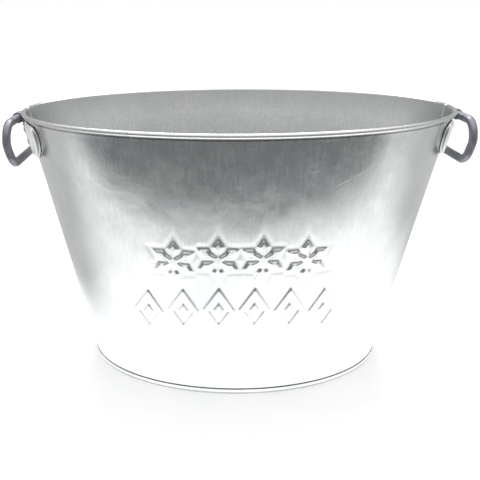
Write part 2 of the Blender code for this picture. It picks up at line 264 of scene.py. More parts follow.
# Reflection board. The lit part's front edge is an arc that flattens into a shoulder and leans nearer on
# the left, where it is also softer
BOARD_REACH = 6
BOARD_LIFT = 0.002
BOARD_FRONT = 0.385
BOARD_SHOULDER = 0.268
BOARD_ARC = 0.50
BOARD_SOFT = (0.07, 0.02)
BOARD_SOFT_SPAN = (-0.25, 0.0)
BOARD_CENTRE = 0.09
BOARD_LEAN = -0.05
BOARD_SIDE = (0.28, 0.40)
BOARD_REAR = (0.0, 0.2)
BOARD_BACK = (-0.17, 0.0)
BOARD_NEAR = 0.3
BOARD_FAR = 0.95
BOARD_BRIGHT = 1.75
BOARD_GREY = 0.72
BOARD_DARK = 0.19
BOARD_TINTS = ((0.90, 0.94, 1.0), (0.985, 1.0, 0.985))

# Lamps
CEILING_POWER = 1.75
CEILING_ANGLE = math.radians(110)
OVERHEAD_PLACE = Vector((0, 0.75, 1.25))
OVERHEAD_TARGET = Vector((0, 0.05, 0.2))
OVERHEAD_SIZE = (1.1, 0.5)
OVERHEAD_POWER = 6.5
OVERHEAD_SPREAD = math.radians(150)

# The plain wall's outer face at foot and top, worked out from the sizes above
WIRE_HEIGHT = HEIGHT - CURL_OUTSIDE
HOOP_OFFSET = GAP + HOOP_SHEET
FOOT_A = FOOT_HALF_LENGTH - HOOP_OFFSET
FOOT_B = FOOT_HALF_WIDTH - HOOP_OFFSET
TOP_A = RIM_HALF_LENGTH - CURL_INSIDE - CURL_OUTSIDE
TOP_B = RIM_HALF_WIDTH - CURL_INSIDE - CURL_OUTSIDE


# ---------------------------------------------------------------- shapes shared by the pieces


def oval_axes(height):
    """Half length and half width of the wall's outer face at a height."""
    share = height / WIRE_HEIGHT
    return FOOT_A + (TOP_A - FOOT_A) * share, FOOT_B + (TOP_B - FOOT_B) * share


def wall_point(angle, height, offset):
    """The point at an angle round the oval and a height, offset outward from the wall's outer face."""
    a, b = oval_axes(height)
    outward = Vector((b * math.cos(angle), a * math.sin(angle), 0)).normalized()
    return Vector((a * math.cos(angle), b * math.sin(angle), height)) + outward * offset


def arc(centre, radius, start, end, steps):
    """Points on an arc, both ends included, for a centre given as two coordinates."""
    angles = [start + (end - start) * i / steps for i in range(steps + 1)]
    return [(centre[0] + radius * math.cos(t), centre[1] + radius * math.sin(t)) for t in angles]


def spaced(start, end, step):
    """Evenly spaced values from start to end, at most a step apart."""
    count = max(1, math.ceil(abs(end - start) / step))
    return [start + (end - start) * i / count for i in range(count + 1)]


def smooth_step(share):
    """Eases from 0 to 1, and stays there beyond either end."""
    share = min(max(share, 0), 1)
    return share * share * (3 - 2 * share)


def grid_mesh(name, columns, wrap_columns=False, wrap_rows=False):
    """A mesh of quads between neighbouring columns of points. A point given as None leaves a gap."""
    bm = bmesh.new()
    made = [[point and bm.verts.new(point) for point in column] for column in columns]
    pairs = list(zip(made, made[1:])) + ([(made[-1], made[0])] if wrap_columns else [])
    for left, right in pairs:
        for i in range(len(left) if wrap_rows else len(left) - 1):
            corners = (left[i], right[i], right[(i + 1) % len(left)], left[(i + 1) % len(left)])
            if all(corners):
                bm.faces.new(corners)
    bmesh.ops.delete(bm, geom=[v for v in bm.verts if not v.link_faces], context="VERTS")
    return to_mesh(name, bm)


def to_mesh(name, bm):
    """A new mesh from a bmesh, which is freed."""
    mesh = bpy.data.meshes.new(name)
    bm.to_mesh(mesh)
    bm.free()
    return mesh


def add_piece(name, mesh, material, body, node, sharp_angle=40):
    """Links a mesh as a piece that rides on a body and stands for a CAD node."""
    obj = bpy.data.objects.new(name, mesh)
    bpy.context.scene.collection.objects.link(obj)
    mesh.materials.append(material)
    mesh.shade_smooth()
    mesh.set_sharp_from_angle(angle=math.radians(sharp_angle))
    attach(obj, body)
    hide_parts(node)
    return obj


def thicken(obj, thickness):
    """Gives a sheet its thickness on the side away from its faces' normals."""
    solidify = obj.modifiers.new("sheet", "SOLIDIFY")
    solidify.thickness = thickness
    solidify.offset = -1
    solidify.use_even_offset = True


def lathe(name, profile, sides):
    """A closed solid turned about Z from a profile of (radius, height) that starts and ends on the axis."""
    bm = bmesh.new()
    turns = [2 * math.pi * i / sides for i in range(sides)]
    rings = []
    for radius, height in profile[1:-1]:
        rings.append([bm.verts.new((radius * math.cos(t), radius * math.sin(t), height)) for t in turns])
    bottom = bm.verts.new((0, 0, profile[0][1]))
    top = bm.verts.new((0, 0, profile[-1][1]))
    for i in range(sides):
        j = (i + 1) % sides
        bm.faces.new((bottom, rings[0][j], rings[0][i]))
        bm.faces.new((top, rings[-1][i], rings[-1][j]))
        for low, high in zip(rings, rings[1:]):
            bm.faces.new((low[i], low[j], high[j], high[i]))
    return to_mesh(name, bm)


# ---------------------------------------------------------------- embossed front


def crystal_distance(x, z):
    """Distance to the edge of a crystal with a hub and six arms that end in diamonds, negative inside."""
    sector = math.pi / 3
    turn = abs((math.atan2(x, z) + sector / 2) % sector - sector / 2)
    radius = math.hypot(x, z)
    along, across = radius * math.cos(turn), radius * math.sin(turn)
    half_length, half_width = CRYSTAL_TIP
    arm = math.hypot(max(along - CRYSTAL_RADIUS + half_length, 0), across) - CRYSTAL_STROKE
    slant = math.hypot(1 / half_length, 1 / half_width)
    reach = abs(along - CRYSTAL_RADIUS + half_length) / half_length + across / half_width
    return min(arm, radius - CRYSTAL_CORE, (reach - 1) / slant)


def lozenge_distance(x, z):
    """Distance to the edge of a lozenge outline with a solid core, negative inside them."""
    slant = math.hypot(1 / LOZENGE_HALF_WIDTH, 1 / LOZENGE_HALF_HEIGHT)
    reach = abs(x) / LOZENGE_HALF_WIDTH + abs(z) / LOZENGE_HALF_HEIGHT
    outline = abs(reach - 1) / slant - LOZENGE_STROKE
    return min(outline, (reach - LOZENGE_CORE) / slant)


def motif_distance(x, z, middle, pitch, count, shape):
    """Distance to the nearest motif of a row. The row bends down towards its ends, as on a rolled cone."""
    place = min(max(round((x - middle[0]) / pitch + (count - 1) / 2), 0), count - 1)
    across = middle[0] + (place - (count - 1) / 2) * pitch
    return shape(x - across, z - middle[1] + ROW_CURVE * across**2)


def relief(x, z):
    """How far the embossed front stands out from the plain wall."""
    crystal = motif_distance(x, z, CRYSTAL_MIDDLE, CRYSTAL_PITCH, CRYSTALS, crystal_distance)
    lozenge = motif_distance(x, z, LOZENGE_MIDDLE, LOZENGE_PITCH, LOZENGES, lozenge_distance)
    raised = CRYSTAL_RELIEF * smooth_step(1 - crystal / RELIEF_SLOPE)
    raised += LOZENGE_RELIEF * smooth_step(1 - lozenge / RELIEF_SLOPE)
    beside = (min(crystal, lozenge) - PUCKER_REACH) / PUCKER_REACH
    return raised - PUCKER * math.exp(-PUCKER_FALLOFF * beside * beside)


def waviness(point):
    """Shallow unevenness of hand-worked sheet, which fades out towards rim, foot and ends."""
    fade = smooth_step(point.z / WAVE_FADE) * smooth_step((LAP_TOP - point.z) / WAVE_FADE)
    fade *= smooth_step((WAVE_END - abs(point.x)) / WAVE_END_FADE)
    return WAVE * fade * noise.fractal(point / WAVE_LENGTH, *WAVE_FRACTAL)


# ---------------------------------------------------------------- wall, foot and floor


def wall_rows(clear):
    """Offset and height of each row of the wall, from its foot to the end of its curl."""
    heights = [WALL_FOOT, LAP_BOTTOM - JOG_HEIGHT]
    heights += spaced(LAP_BOTTOM + clear, RELIEF_LOW, COARSE_ROW)
    heights += spaced(RELIEF_LOW, RELIEF_HIGH, FINE_ROW)[1:]
    heights += spaced(RELIEF_HIGH, LAP_TOP - clear, COARSE_ROW)[1:]
    rows = [(0, z) for z in heights + [LAP_TOP + JOG_HEIGHT]]
    return rows + arc((CURL_INSIDE, WIRE_HEIGHT), CURL_INSIDE, math.pi, CURL_END, CURL_STEPS)


def seam_angle(distance):
    """The angle that a distance along Y from an end's middle makes at the rim."""
    return distance / TOP_B


def wall_sheet(name, node, material, front):
    """One wall sheet. The front sheet's edges step inward and lap behind the rear one's."""
    clear = 0 if front else 2 * GAP
    rows = wall_rows(clear)
    if front:
        turns = spaced(FRONT_ANGLE - RELIEF_TURN, FRONT_ANGLE + RELIEF_TURN, FINE_TURN)
        start = seam_angle(JOG_OUTER)
        turns = spaced(math.pi + start, turns[0], COARSE_TURN)[1:-1] + turns
        turns += spaced(turns[-1], 2 * math.pi - start, COARSE_TURN)[1:-1]
        near_end = math.pi
    else:
        top = LAP_TOP - clear - GAP
        kept = [i % REAR_ROW_SKIP == 0 or z > top or z < REAR_FOOT_ROWS for i, (_, z) in enumerate(rows)]
        rows = [row for row, keep in zip(rows, kept) if keep]
        start = seam_angle(BUTT_GAP)
        turns = spaced(start, math.pi - start, COARSE_TURN)[1:-1]
        near_end = 0

    def column(angle, inward=0, lap_only=False):
        """The sheet's points at one angle, stepped inward where it laps."""
        points = []
        for offset, z in rows:
            lapped = LAP_BOTTOM + clear - GAP / 2 < z < LAP_TOP - clear + GAP / 2
            point = wall_point(angle, z, 0)
            out = offset - (inward if lapped else 0) + waviness(point)
            if front and abs(angle - FRONT_ANGLE) < RELIEF_TURN + FINE_TURN:
                out += relief(point.x, z) * smooth_step((z - RELIEF_LOW) / RELIEF_FADE)
            points.append(wall_point(angle, z, out) if lapped or not lap_only else None)
        return points

    def edge(end, way):
        """Columns from the plain wall to the sheet's edge, at an end of the oval."""
        if not front:
            butt = column(end + way * seam_angle(BUTT_GAP))
            return [butt, column(end - way * seam_angle(REAR_REACH), lap_only=True)]
        made = []
        for i in range(JOG_STEPS + 1):
            share = i / JOG_STEPS
            distance = JOG_OUTER + (JOG_INNER - JOG_OUTER) * share
            made.append(column(end + way * seam_angle(distance), LAP_STEP * smooth_step(share)))
        made.append(column(end + way * seam_angle(BUTT_GAP), LAP_STEP))
        made.append(column(end - way * seam_angle(LAP_REACH), LAP_STEP, lap_only=True))
        return made

    columns = edge(near_end, 1)[::-1] + [column(t) for t in turns] + edge(near_end + math.pi, -1)
    sheet = add_piece(name, grid_mesh(name, columns), material, "bucket", node)
    thicken(sheet, SHEET)


def ring_columns(section):
    """A section of (offset, height) points carried round the oval."""
    angles = [2 * math.pi * i / RING_STEPS for i in range(RING_STEPS)]
    return [[wall_point(t, z, offset) for offset, z in section] for t in angles]


def rounded_section(corners, radius):
    """A closed section with each corner cut by two short chords."""
    section = []
    for before, corner, after in zip(corners[-1:] + corners[:-1], corners, corners[1:] + corners[:1]):
        for other in (before, after):
            way = Vector((other[0] - corner[0], other[1] - corner[1])).normalized() * radius
            section.append((corner[0] + way.x, corner[1] + way.y))
        middle = Vector(section[-1]).lerp(Vector(section[-2]), 0.5).lerp(Vector(corner), ROUND_BULGE)
        section.insert(-1, tuple(middle))
    return section


def foot_hoop(material):
    """A folded band that holds the wall's lower edge and the base pan's flange."""
    inner_face = FLANGE_OFFSET - SHEET - GAP
    inner = inner_face - HOOP_SHEET
    corners = [
        (inner, 0), (HOOP_OFFSET, 0), (HOOP_OFFSET, HOOP_OUTER_HEIGHT), (GAP, HOOP_OUTER_HEIGHT),
        (GAP, HOOP_SHEET), (inner_face, HOOP_SHEET), (inner_face, HOOP_INNER_HEIGHT),
        (inner, HOOP_INNER_HEIGHT),
    ]
    section = rounded_section(corners, HOOP_ROUND)
    mesh = grid_mesh("foot_seam", ring_columns(section), wrap_columns=True, wrap_rows=True)
    add_piece("foot_seam", mesh, material, "bucket", "foot_hoop", sharp_angle=60)


def base_pan(material):
    """The raised floor: a flange inside the wall, a rounded corner and a stamped oval step."""
    section = [(FLANGE_OFFSET, WALL_FOOT)]
    centre = (FLANGE_OFFSET - PAN_CORNER, FLOOR_HEIGHT - PAN_CORNER)
    section += arc(centre, PAN_CORNER, 0, math.pi / 2, PAN_STEPS)
    for i in range(PAN_STEPS + 1):
        share = i / PAN_STEPS
        offset = FLANGE_OFFSET - STEP_INSET - STEP_WIDTH * share
        section.append((offset, FLOOR_HEIGHT + STEP_RISE * smooth_step(share)))
    columns = []
    for column in ring_columns(section):
        rim = column[-1]
        inward = [Vector((rim.x * share, rim.y * share, rim.z)) for share in PAN_RINGS]
        columns.append(column + inward)
    mesh = grid_mesh("floor_pan", columns, wrap_columns=True)
    bm = bmesh.new()
    bm.from_mesh(mesh)
    rim = [e for e in bm.edges if e.is_boundary and e.verts[0].co.z > FLOOR_HEIGHT + STEP_RISE / 2]
    bmesh.ops.contextual_create(bm, geom=rim)
    bmesh.ops.recalc_face_normals(bm, faces=bm.faces)
    if max(bm.faces, key=lambda f: f.calc_area()).normal.z < 0:
        bmesh.ops.reverse_faces(bm, faces=bm.faces)
    bm.to_mesh(mesh)
    bm.free()
    thicken(add_piece("floor_pan", mesh, material, "bucket", "base_pan"), SHEET)


# ---------------------------------------------------------------- ear plates, lugs and rivets


def plate_outline(inset, column):
    """Distance along Y and lower and upper height of the ear plate's outline, inset all round."""
    reach = PLATE_HALF_LENGTH - inset
    y = -reach * math.cos(math.pi * column / (PLATE_COLUMNS - 1))

    def rounded(radius):
        """How far the outline rises above a corner's centre."""
        inner = radius - inset
        past = min(abs(y) - (PLATE_HALF_LENGTH - radius), inner)
        return inner if past < 0 else math.sqrt(inner**2 - past**2)

    low = PLATE_BOTTOM + PLATE_LOWER_RADIUS - rounded(PLATE_LOWER_RADIUS)
    high = PLATE_TOP - PLATE_UPPER_RADIUS + rounded(PLATE_UPPER_RADIUS)
    return y, low, high


def end_point(side, y, height, offset):
    """A point offset from the wall at one end of the oval, for a distance along Y."""
    angle = math.asin(y / oval_axes(height)[1])
    point = wall_point(angle, height, offset)
    return Vector((side * point.x, point.y, point.z))


def ear_plate(side, word, material):
    """A dished plate, open at the back, that follows the end of the wall."""
    bm = bmesh.new()
    loops = []
    for inset, share in PLATE_RINGS:
        offset = PLATE_EDGE + (PLATE_PROUD - PLATE_EDGE) * share
        outline = [plate_outline(inset, i) for i in range(PLATE_COLUMNS)]
        lower = [bm.verts.new(end_point(side, y, low, offset)) for y, low, high in outline]
        upper = [bm.verts.new(end_point(side, y, high, offset)) for y, low, high in outline]
        loops.append(lower + upper[::-1])
    for outer, inner in zip(loops, loops[1:]):
        for i in range(len(outer)):
            j = (i + 1) % len(outer)
            bm.faces.new((outer[i], outer[j], inner[j], inner[i]))
    last = loops[-1]
    for i in range(PLATE_COLUMNS - 1):
        bm.faces.new((last[i], last[i + 1], last[-2 - i], last[-1 - i]))
    if side < 0:
        bmesh.ops.reverse_faces(bm, faces=bm.faces)
    mesh = to_mesh(f"end_plate_{word}", bm)
    node = f"ear_plate_{word}"
    plate = add_piece(mesh.name, mesh, material, "bucket", node, sharp_angle=60)
    thicken(plate, PLATE_SHEET)


def lug_mesh(name, outline, side):
    """A narrow barrel on a wide tongue, from an outline whose first and last two points are the tongue."""
    tongue = (0, 1, -2, -1)
    bm = bmesh.new()
    strips = []
    for way in (-1, 1):
        whole = [bm.verts.new((side * x, way * BARREL_HALF_WIDTH, z)) for x, z in outline]
        bm.faces.new(whole[1:-1])
        ends = [outline[i] for i in tongue]
        wing = [bm.verts.new((side * x, way * TONGUE_HALF_WIDTH, z)) for x, z in ends]
        bm.faces.new(wing)
        strips.append((whole, wing))
    joined = [([whole[i] for i in tongue], wing) for whole, wing in strips] + [(strips[0][0], strips[1][0])]
    for first, second in joined:
        for i in range(len(first)):
            j = (i + 1) % len(first)
            bm.faces.new((first[i], first[j], second[j], second[i]))
    bmesh.ops.recalc_face_normals(bm, faces=bm.faces)
    return to_mesh(name, bm)


def hinge_lug(side, word, material):
    """A strap rolled into a barrel round the handle's bar, with its tongue riveted over the ear plate."""

    def tongue(height, offset):
        return oval_axes(height)[0] + offset, height

    centre = (AXIS_X, AXIS_Z)
    back, front = LUG_OFFSET, LUG_OFFSET + LUG_SHEET
    outline = [tongue(TONGUE_BOTTOM, back), tongue(TONGUE_TOP, back)]
    bore_end = BARREL_START - SLIT + 2 * math.pi
    outline += arc(centre, BARREL_INSIDE, BARREL_START + SLIT, bore_end, BARREL_STEPS)
    outline += arc(centre, BARREL_OUTSIDE, BARREL_START, BARREL_END, BARREL_STEPS)
    outline += [tongue(TONGUE_TOP - LUG_SHEET, front), tongue(TONGUE_BOTTOM, front)]
    mesh = lug_mesh(f"barrel_lug_{word}", outline, side)
    node = f"hinge_lug_{word}"
    lug = add_piece(mesh.name, mesh, material, "bucket", node, sharp_angle=35)
    bevel = lug.modifiers.new("worn edges", "BEVEL")
    bevel.width = LUG_EDGE
    bevel.segments = LUG_EDGE_SEGMENTS
    bevel.limit_method = "ANGLE"
    bevel.angle_limit = LUG_EDGE_ANGLE


def rivet(side, word, number, y, height, material):
    """A domed head on the lug, a shank through the sheets and a flattened tail inside the bucket."""
    seat = LUG_OFFSET + LUG_SHEET + GAP
    tail = TAIL_OFFSET - TAIL_HEIGHT
    profile = [(0, tail), (TAIL_RADIUS * TAIL_FACE, tail)]
    profile.append((TAIL_RADIUS, tail + TAIL_HEIGHT * TAIL_CHAMFER))
    profile += [(TAIL_RADIUS, TAIL_OFFSET), (SHANK_RADIUS, TAIL_OFFSET), (SHANK_RADIUS, seat)]
    dome = arc((0, 0), 1, 0, math.pi / 2, DOME_STEPS)[:-1]
    profile += [(HEAD_RADIUS * out, seat + HEAD_HEIGHT * up) for out, up in dome]
    profile.append((0, seat + HEAD_HEIGHT))
    mesh = lathe(f"rivet_head_{word}_{number}", profile, RIVET_SIDES)
    slope = Vector((WIRE_HEIGHT, 0, FOOT_A - TOP_A)).normalized()
    outward = Vector((side * slope.x, 0, slope.z))
    place = Matrix.Translation((side * oval_axes(height)[0], y, height))
    mesh.transform(place @ outward.to_track_quat("Z", "Y").to_matrix().to_4x4())
    node = f"rivet_{word}_{number}"
    add_piece(mesh.name, mesh, material, "bucket", node, sharp_angle=50)


# ---------------------------------------------------------------- handles


def fillet(corners, radii, steps):
    """A path through corner points, with an arc of the given radius at each inner corner."""
    path = [corners[0]]
    for before, corner, after, radius in zip(corners, corners[1:], corners[2:], radii):
        back, ahead = (before - corner).normalized(), (after - corner).normalized()
        half = back.angle(ahead) / 2
        centre = corner + (back + ahead).normalized() * radius / math.sin(half)
        start = (corner + back * radius / math.tan(half) - centre).normalized()
        end = (corner + ahead * radius / math.tan(half) - centre).normalized()
        path += [centre + start.slerp(end, i / steps) * radius for i in range(steps + 1)]
    return path + [corners[-1]]


def resampled(path, step):
    """The same path with its long straight runs divided."""
    points = [path[0]]
    for before, after in zip(path, path[1:]):
        count = max(1, math.ceil((after - before).length / step))
        points += [before.lerp(after, i / count) for i in range(1, count + 1)]
    return points


def handle(side, word, material):
    """A bent round bar, a little uneven like a forging, with two smooth ends that turn in the barrel."""
    half = [
        Vector((0, BAR_END, 0)),
        Vector((0, HANDLE_HALF_WIDTH, 0)),
        Vector((side * ARM_BOW, HANDLE_HALF_WIDTH, -BOW_DROP)),
        Vector((side * GRIP_SHIFT, HANDLE_HALF_WIDTH, -GRIP_DROP)),
        Vector((side * GRIP_SHIFT, 0, -GRIP_DROP)),
    ]
    half = fillet(half, (SHOULDER_RADIUS, ARM_RADIUS, GRIP_CORNER_RADIUS), BEND_STEPS)
    path = resampled(half[:-1] + [Vector((p.x, -p.y, p.z)) for p in half[::-1]], STRAIGHT_STEP)
    hinge = HINGES[f"{word}_handle"]
    rings = []
    across = Vector((1, 0, 0))
    for i, point in enumerate(path):
        along = (path[min(i + 1, len(path) - 1)] - path[max(i - 1, 0)]).normalized()
        across = (across - along * across.dot(along)).normalized()
        beside = along.cross(across)
        uneven = 1
        if point.z > -BAR_RADIUS:
            uneven = smooth_step((abs(point.y) - BARREL_HALF_WIDTH) / BARREL_BLEND)
        ring = []
        for k in range(BAR_SIDES):
            turn = 2 * math.pi * k / BAR_SIDES
            out = across * math.cos(turn) + beside * math.sin(turn)
            place = (point + out * BAR_RADIUS) * BAR_BUMP_SCALE
            bump = noise.fractal(place, *BAR_FRACTAL) - BAR_BUMP_MEAN
            ring.append(hinge + point + out * (BAR_RADIUS + uneven * BAR_ROUGHNESS * bump))
        rings.append(ring)
    mesh = grid_mesh(f"drop_handle_{word}", rings, wrap_rows=True)
    bm = bmesh.new()
    bm.from_mesh(mesh)
    bmesh.ops.holes_fill(bm, edges=[e for e in bm.edges if e.is_boundary], sides=BAR_SIDES)
    bmesh.ops.recalc_face_normals(bm, faces=bm.faces)
    bm.to_mesh(mesh)
    bm.free()
    node = f"handle_{word}"
    add_piece(mesh.name, mesh, material, f"{word}_handle", node, sharp_angle=50)


# ---------------------------------------------------------------- materials


class Nodes:
    """A new Principled material, with short calls to add its nodes."""

    def __init__(self, name):
        self.material = bpy.data.materials.new(name)
        self.material.use_nodes = True
        self.tree = self.material.node_tree
        self.shader = self.tree.nodes["Principled BSDF"]
        self.place = self.add("ShaderNodeTexCoord").outputs["Object"]

    def add(self, kind, inputs=None, **settings):
        node = self.tree.nodes.new(kind)
        for key, value in settings.items():
            setattr(node, key, value)
        for key, value in (inputs or {}).items():
            self.feed(node.inputs[key], value)
        return node

    def feed(self, socket, value):
        if isinstance(value, bpy.types.NodeSocket):
            self.tree.links.new(value, socket)
        else:
            socket.default_value = value

    def stretched(self, scale):
        return self.add("ShaderNodeMapping", {"Vector": self.place, "Scale": scale}).outputs["Vector"]

    def noise(self, scale, detail=2.0, vector=None, distortion=0.0, rough=0.5):
        inputs = {"Vector": vector or self.place, "Scale": scale, "Detail": detail}
        inputs.update({"Distortion": distortion, "Roughness": rough})
        return self.add("ShaderNodeTexNoise", inputs).outputs["Fac"]

    def cells(self, scale):
        """A flat random value for each cell of a crystal pattern."""
        node = self.add("ShaderNodeTexVoronoi", {"Vector": self.place, "Scale": scale})
        return self.add("ShaderNodeSeparateColor", {"Color": node.outputs["Color"]}).outputs["Red"]

    def span(self, value, low, high, to_low=0.0, to_high=1.0):
        """Maps a range of a value to another range, without going past its ends."""
        inputs = {"Value": value, "From Min": low, "From Max": high, "To Min": to_low, "To Max": to_high}
        return self.add("ShaderNodeMapRange", inputs).outputs["Result"]

    def math(self, operation, first, second=0.0):
        return self.add("ShaderNodeMath", {0: first, 1: second}, operation=operation).outputs["Value"]

    def mix(self, share, first, second):
        node = self.add("ShaderNodeMix", data_type="RGBA")
        self.feed(node.inputs["Factor"], share)
        self.feed(node.inputs["A"], first if isinstance(first, bpy.types.NodeSocket) else (*first, 1))
        self.feed(node.inputs["B"], second if isinstance(second, bpy.types.NodeSocket) else (*second, 1))
        return node.outputs["Result"]

    def bump(self, height, distance, strength=1.0, below=None):
        inputs = {"Height": height, "Distance": distance, "Strength": strength}
        if below:
            inputs["Normal"] = below
        return self.add("ShaderNodeBump", inputs).outputs["Normal"]

    def finish(self, colour, metallic, roughness, normal):
        values = {"Base Color": colour, "Metallic": metallic, "Roughness": roughness, "Normal": normal}
        for key, value in values.items():
            self.feed(self.shader.inputs[key], value)
        return self.material


def scratch_lines(n, scale, width, keep):
    """Thin wandering scratches: where a slow noise crosses its middle value, kept only in patches."""
    slow = n.noise(scale, 1.0, distortion=0.4)
    line = n.span(n.math("ABSOLUTE", n.math("SUBTRACT", slow, 0.5)), 0.0, width, 1.0, 0.0)
    patches = n.span(n.noise(scale * 2.3, 1.0), keep, keep + 0.06)
    return n.math("MULTIPLY", line, patches)


def galvanised_material():
    """Hot-dipped sheet: cloudy tone, faint crystals, vertical streaks, scratches, and painted shade and
    light in creases and inside.
    """
    n = Nodes("galvanised_sheet")
    clouds = n.noise(16, 3.0, distortion=0.6)
    blotches = n.noise(60, 5.0, distortion=0.3, rough=0.6)
    spangle = n.cells(230)
    streaks = n.noise(1.0, 3.0, n.stretched((420, 420, 14)))
    grain = n.noise(1400, 2.0)
    scratches = scratch_lines(n, 9.0, 0.0035, 0.56)
    base = n.mix(n.span(clouds, 0.35, 0.65), *ZINC_SHADES)
    base = n.mix(n.span(blotches, 0.34, 0.66, 0.0, 0.24), base, ZINC_BLOTCH)
    base = n.mix(n.span(spangle, 0.0, 1.0, 0.0, 0.06), base, ZINC_SPANGLE)
    base = n.mix(n.span(n.noise(8.0, 2.0), 0.42, 0.68, 0.0, 0.40), base, ZINC_WARM)
    base = n.mix(n.span(streaks, 0.35, 0.65, 0.0, 0.18), base, ZINC_STREAK)
    base = n.mix(n.math("MULTIPLY", scratches, 0.5), base, ZINC_SCRATCH)
    height = n.add("ShaderNodeSeparateXYZ", {"Vector": n.place}).outputs["Z"]
    facing = n.add("ShaderNodeNewGeometry").outputs["Normal"]
    from_axis = n.stretched((1, 1, 0))
    outer = n.add("ShaderNodeVectorMath", {0: facing, 1: from_axis}, operation="DOT_PRODUCT")
    outer = n.span(outer.outputs["Value"], 0.0, 0.02)
    # Painted light and painted shade on the inner faces: paler all over, and darker towards the bead
    shade = n.span(height, *INNER_SHADE_SPAN, 0.0, INNER_SHADE)
    inner = n.math("SUBTRACT", 1.0, outer)
    base = n.mix(n.math("MULTIPLY", inner, INNER_PAINTED_LIFT), base, ZINC_PAINTED_INNER_LIGHT)
    base = n.mix(n.math("MULTIPLY", shade, inner), base, ZINC_PAINTED_SHADE_INSIDE)
    # Painted shade in the outer creases under the bead and over the foot seam
    for low, high in CREASE_SHADE_BANDS:
        from_middle = n.math("ABSOLUTE", n.math("SUBTRACT", height, (low + high) / 2))
        crease_shade = n.span(from_middle, (high - low) / 4, (high - low) / 2, CREASE_SHADE_DEPTH, 0.0)
        base = n.mix(n.math("MULTIPLY", crease_shade, outer), base, ZINC_CREASE_SHADE)
    rough = n.span(blotches, 0.35, 0.65, 0.23, 0.28)
    rough = n.math("ADD", rough, n.span(spangle, 0.0, 1.0, -0.008, 0.008))
    rough = n.math("ADD", rough, n.span(streaks, 0.3, 0.7, -0.02, 0.03))
    rough = n.math("ADD", rough, n.span(grain, 0.3, 0.7, -0.02, 0.02))
    normal = n.bump(clouds, 0.0010, 0.5)
    normal = n.bump(blotches, 0.00014, 0.5, normal)
    normal = n.bump(spangle, 0.00001, 0.4, normal)
    normal = n.bump(streaks, 0.00003, 0.6, normal)
    normal = n.bump(scratches, -0.00006, 0.8, normal)
    return n.finish(base, 1.0, rough, normal)


def plate_material():
    """Zinc-plated pressing: lighter and cleaner than the sheet, with soft blotches and painted shade on its
    steep edge.
    """
    n = Nodes("ear_plate_zinc")
    blotches = n.noise(85, 4.0, distortion=0.8)
    grain = n.noise(900, 2.0)
    base = n.mix(n.span(blotches, 0.35, 0.65), *PLATE_SHADES)
    # Painted shade on the steep edges, where the normal turns far from X
    facing = n.add("ShaderNodeNewGeometry").outputs["Normal"]
    facing = n.add("ShaderNodeSeparateXYZ", {"Vector": facing}).outputs["X"]
    edge = n.span(n.math("ABSOLUTE", facing), *PLATE_EDGE_FACING, PLATE_EDGE_SHADE_DEPTH, 0.0)
    base = n.mix(edge, base, PLATE_EDGE_SHADE_COLOUR)
    rough = n.math("ADD", n.span(blotches, 0.3, 0.7, 0.44, 0.54), n.span(grain, 0.3, 0.7, -0.03, 0.03))
    normal = n.bump(blotches, 0.0002, 0.5)
    normal = n.bump(grain, 0.00002, 0.5, normal)
    return n.finish(base, 0.75, rough, normal)


def iron_material():
    """Dark gunmetal bar: bluish, faintly pitted, rubbed paler on its proud places."""
    n = Nodes("dark_iron")
    blotches = n.noise(110, 4.0, distortion=0.6)
    pits = n.noise(620, 3.0)
    speckle = n.noise(1500, 2.0)
    rubbed = n.span(n.add("ShaderNodeNewGeometry").outputs["Pointiness"], 0.50, 0.56, 0.0, 0.35)
    base = n.mix(n.span(blotches, 0.35, 0.65), *IRON_SHADES)
    base = n.mix(n.span(speckle, 0.55, 0.7, 0.0, 0.5), base, IRON_SPECKLE)
    base = n.mix(rubbed, base, IRON_RUBBED)
    rough = n.math("ADD", n.span(blotches, 0.3, 0.7, 0.40, 0.52), n.span(pits, 0.3, 0.7, -0.06, 0.06))
    normal = n.bump(pits, 0.00018, 0.7)
    normal = n.bump(speckle, 0.00006, 0.5, normal)
    return n.finish(base, 0.9, rough, normal)


def rivet_material():
    """Plated steel rivet: small dents from setting."""
    n = Nodes("rivet_steel")
    dents = n.noise(700, 2.0)
    base = n.mix(n.span(dents, 0.35, 0.65), *RIVET_SHADES)
    normal = n.bump(dents, 0.0002, 0.5)
    return n.finish(base, 1.0, n.span(dents, 0.3, 0.7, 0.30, 0.42), normal)


def wire_material():
    """Drawn steel wire: fine lines and a dull tone."""
    n = Nodes("wire_steel")
    lines = n.noise(900, 2.0)
    base = n.mix(n.span(lines, 0.35, 0.65), *WIRE_SHADES)
    return n.finish(base, 1.0, n.span(lines, 0.3, 0.7, 0.35, 0.48), n.bump(lines, 0.0001, 0.5))


# ---------------------------------------------------------------- studio


def stage_plane(name, reach, height, material):
    """A level square about the origin that belongs to the stage, not to the bucket."""
    corners = ((-reach, -reach), (reach, -reach), (reach, reach), (-reach, reach))
    bm = bmesh.new()
    bm.faces.new([bm.verts.new((x, y, height)) for x, y in corners])
    obj = bpy.data.objects.new(name, to_mesh(name, bm))
    obj.data.materials.append(material)
    bpy.context.scene.collection.objects.link(obj)
    return obj


def floor_material():
    """Plain pale matt floor."""
    n = Nodes("pale_floor")
    grain = n.noise(35, 3.0)
    base = n.mix(n.span(grain, 0.3, 0.7), *FLOOR_SHADES)
    return n.finish(base, 0.0, 0.7, n.bump(grain, 0.0002, 0.2))


